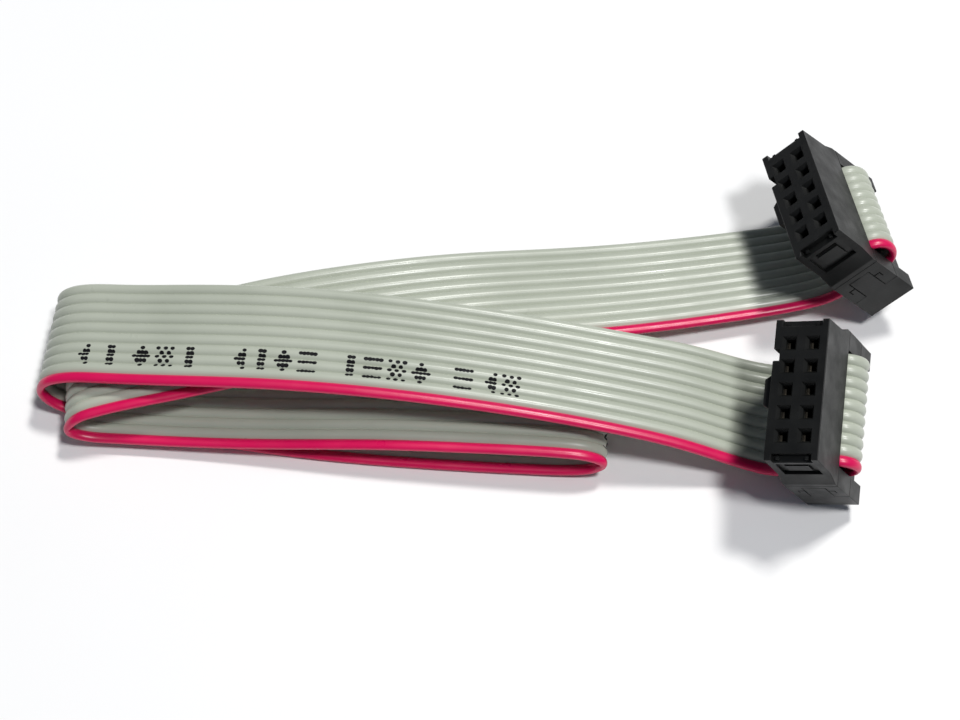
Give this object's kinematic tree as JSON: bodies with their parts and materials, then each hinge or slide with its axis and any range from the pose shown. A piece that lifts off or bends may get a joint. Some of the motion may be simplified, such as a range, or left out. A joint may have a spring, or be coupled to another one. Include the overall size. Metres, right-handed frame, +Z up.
{
  "type": "flat ribbon cable with insulation displacement sockets",
  "caption": "Flat grey ribbon cable with a red edge wire and a black two-row crimped socket on each end, lying folded in three.",
  "frame": {"origin": "on the surface it lies on, below the middle of the box around the two sockets", "axes": "+Z up; +X points from the folded runs towards the sockets; +Y points across the ribbon, away from its red edge"},
  "size_m": [0.0976, 0.0432, 0.0189],
  "materials": {
    "grey_pvc": "soft satin PVC",
    "red_pvc": "soft satin PVC",
    "black_plastic": "moulded, slightly rough",
    "copper": "bare stranded copper",
    "contact_metal": "plated spring strip"
  },
  "bodies": {
    "root": {"grey_insulation": "grey_pvc", "red_edge_insulation": "red_pvc", "conductor_1": "copper", "conductor_2": "copper", "conductor_3": "copper", "conductor_4": "copper", "conductor_5": "copper", "conductor_6": "copper", "conductor_7": "copper", "conductor_8": "copper", "conductor_9": "copper", "conductor_10": "copper", "socket_body_a": "black_plastic", "socket_cover_a": "black_plastic", "strain_relief_a": "black_plastic", "contact_a1": "contact_metal", "contact_a2": "contact_metal", "contact_a3": "contact_metal", "contact_a4": "contact_metal", "contact_a5": "contact_metal", "contact_a6": "contact_metal", "contact_a7": "contact_metal", "contact_a8": "contact_metal", "contact_a9": "contact_metal", "contact_a10": "contact_metal", "socket_body_b": "black_plastic", "socket_cover_b": "black_plastic", "strain_relief_b": "black_plastic", "contact_b1": "contact_metal", "contact_b2": "contact_metal", "contact_b3": "contact_metal", "contact_b4": "contact_metal", "contact_b5": "contact_metal", "contact_b6": "contact_metal", "contact_b7": "contact_metal", "contact_b8": "contact_metal", "contact_b9": "contact_metal", "contact_b10": "contact_metal"}
  },
  "joints": []
}
